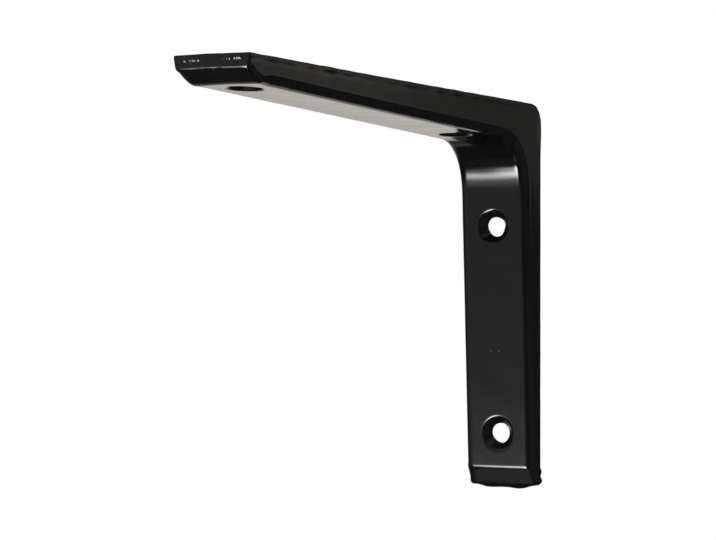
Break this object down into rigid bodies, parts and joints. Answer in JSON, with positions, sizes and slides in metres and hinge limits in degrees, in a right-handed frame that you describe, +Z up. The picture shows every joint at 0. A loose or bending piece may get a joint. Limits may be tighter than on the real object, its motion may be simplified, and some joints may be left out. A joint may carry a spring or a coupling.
{
  "type": "shelf bracket",
  "caption": "L-shaped pressed steel shelf bracket with tapered channel arms, closed sloping ends and countersunk screw holes for the wall and the shelf.",
  "frame": {"origin": "on the wall plane, at mid-width, halfway between the two wall screws", "axes": "+X out from the wall along the arm, +Y across the width, +Z up to the shelf"},
  "size_m": [0.175, 0.025, 0.1249],
  "materials": {
    "gloss_black_paint": "thick gloss black paint on pressed steel"
  },
  "bodies": {
    "root": {"bracket": "gloss_black_paint"}
  },
  "joints": []
}
